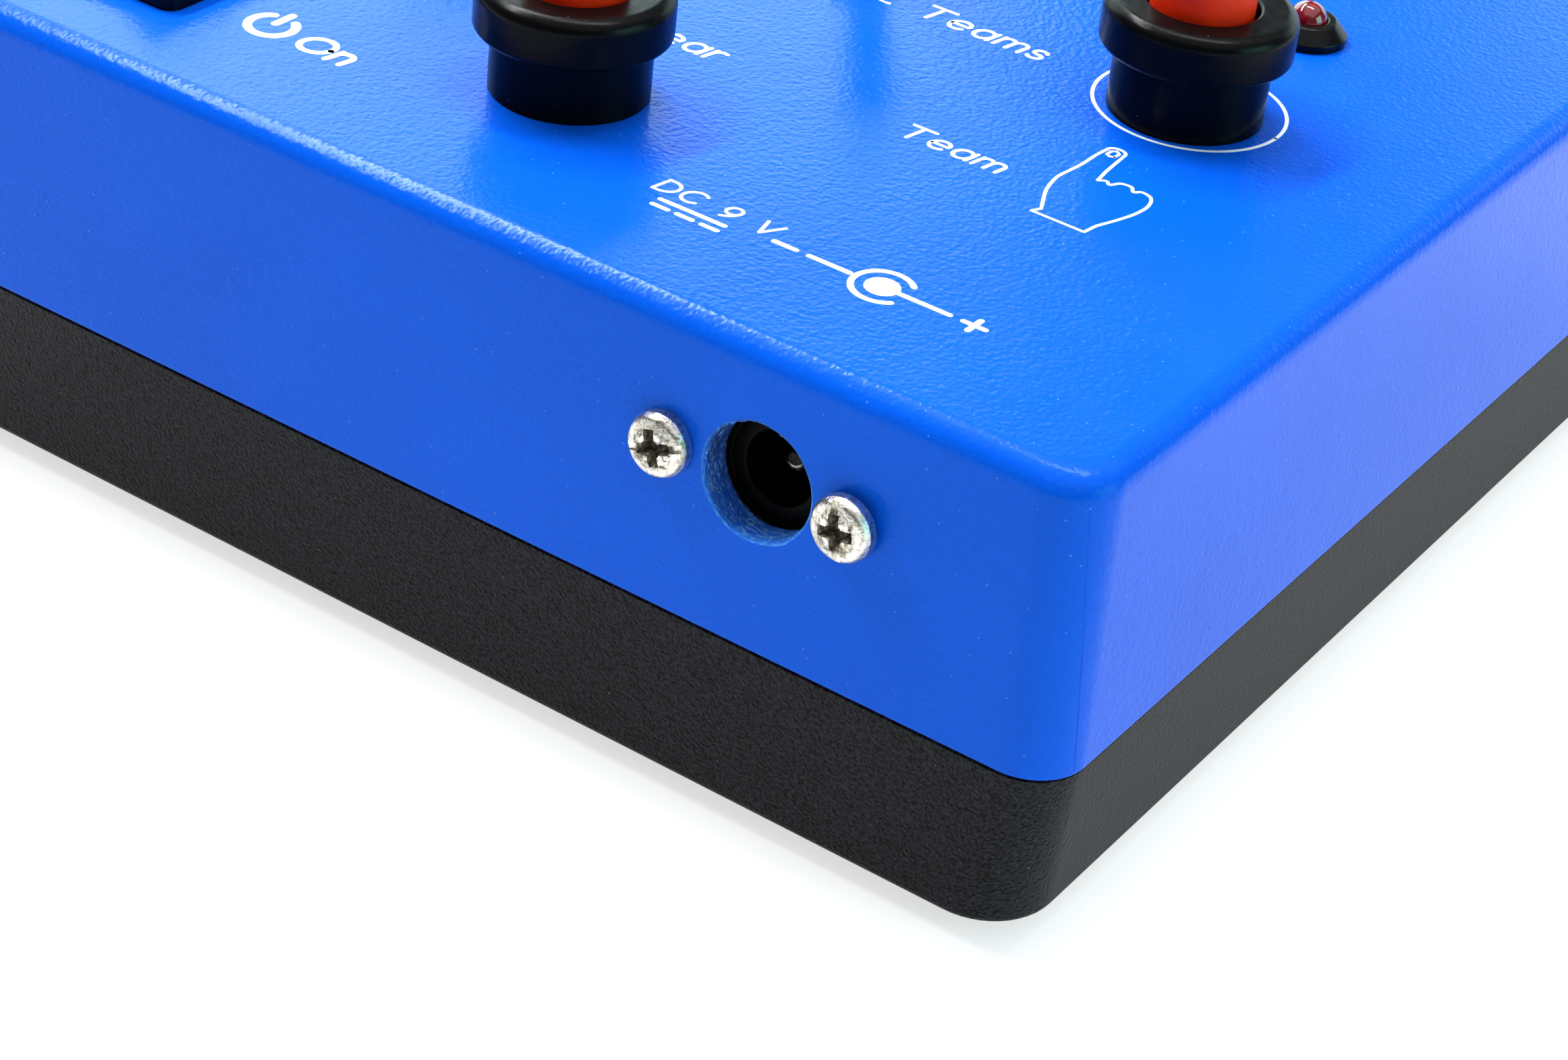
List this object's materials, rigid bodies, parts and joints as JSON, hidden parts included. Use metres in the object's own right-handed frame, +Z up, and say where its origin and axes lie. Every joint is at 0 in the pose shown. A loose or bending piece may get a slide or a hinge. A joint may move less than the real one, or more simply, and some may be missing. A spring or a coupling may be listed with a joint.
{
  "type": "quiz buzzer",
  "caption": "Tabletop quiz buzzer: drafted two-part case with player buttons and a clear button, lock-in lamps, power rocker, team selector and a DC power inlet.",
  "frame": {"origin": "on the table, under the middle of the whole buzzer's box", "axes": "+X to the right along the front wall that holds the power inlet, +Y to the back, +Z up"},
  "size_m": [0.1364, 0.1616, 0.0634],
  "materials": {
    "shell_blue": "satin moulded plastic with a fine orange-peel grain",
    "tray_black": "spark-eroded matt texture",
    "button_black": "satin gloss",
    "button_red": "satin, slightly scuffed",
    "bezel_black": "satin gloss",
    "moulded_black": "plain moulded",
    "lamp_red": "clear dark red epoxy",
    "foot_rubber": "matt",
    "screw_steel": "nickel plated",
    "selector_metal": "bright nickel",
    "terminal_brass": "tinned",
    "board_green": "solder mask",
    "capacitor_black": "shrink sleeve"
  },
  "bodies": {
    "case": {"top_shell": "shell_blue", "bottom_tray": "tray_black", "case_screw_1": "screw_steel", "case_screw_2": "screw_steel", "case_screw_3": "screw_steel", "case_screw_4": "screw_steel", "rubber_foot_1": "foot_rubber", "rubber_foot_2": "foot_rubber", "rubber_foot_3": "foot_rubber", "rubber_foot_4": "foot_rubber", "left_button_body": "button_black", "left_button_spring": "screw_steel", "left_button_nut": "moulded_black", "left_button_contacts": "moulded_black", "right_button_body": "button_black", "right_button_spring": "screw_steel", "right_button_nut": "moulded_black", "right_button_contacts": "moulded_black", "clear_button_body": "button_black", "clear_button_spring": "screw_steel", "clear_button_nut": "moulded_black", "clear_button_contacts": "moulded_black", "left_lamp_bezel": "bezel_black", "left_lamp_lens": "lamp_red", "right_lamp_bezel": "bezel_black", "right_lamp_lens": "lamp_red", "rocker_frame": "bezel_black", "rocker_terminal_left": "terminal_brass", "rocker_terminal_right": "terminal_brass", "selector_body": "selector_metal", "selector_nut": "selector_metal", "jack_body": "moulded_black", "jack_pin": "screw_steel", "jack_screw_left": "screw_steel", "jack_screw_right": "screw_steel", "jack_nut_left": "screw_steel", "jack_nut_right": "screw_steel", "circuit_board": "board_green", "logic_chip": "moulded_black", "filter_capacitor": "capacitor_black", "voltage_regulator": "moulded_black", "sounder": "moulded_black", "board_screw_1": "screw_steel", "board_screw_2": "screw_steel", "board_screw_3": "screw_steel", "board_screw_4": "screw_steel"},
    "left_plunger": {"left_button_plunger": "button_red"},
    "right_plunger": {"right_button_plunger": "button_red"},
    "clear_plunger": {"clear_button_plunger": "button_red"},
    "rocker": {"rocker_paddle": "moulded_black"},
    "selector": {"selector_lever": "selector_metal", "selector_sleeve": "bezel_black"}
  },
  "joints": [
    {"name": "left_press", "type": "slide", "parent": "case", "child": "left_plunger", "axis": [0, 0, -1], "range_m": [0, 0.003], "stiffness_N_per_m": 400, "springref_m": -0.0015, "deforming": ["left_button_spring"]},
    {"name": "right_press", "type": "slide", "parent": "case", "child": "right_plunger", "axis": [0, 0, -1], "range_m": [0, 0.003], "stiffness_N_per_m": 400, "springref_m": -0.0015, "deforming": ["right_button_spring"]},
    {"name": "clear_press", "type": "slide", "parent": "case", "child": "clear_plunger", "axis": [0, 0, -1], "range_m": [0, 0.003], "stiffness_N_per_m": 400, "springref_m": -0.0015, "deforming": ["clear_button_spring"]},
    {"name": "rocker_rock", "type": "hinge", "parent": "case", "child": "rocker", "pos_m": [-0.0433, -0.05998, 0.0461], "axis": [0, 1, 0], "range_deg": [0, 18]},
    {"name": "selector_tilt", "type": "hinge", "parent": "case", "child": "selector", "pos_m": [0, -0.00718, 0.0496], "axis": [0, -1, 0], "range_deg": [0, 24]}
  ]
}
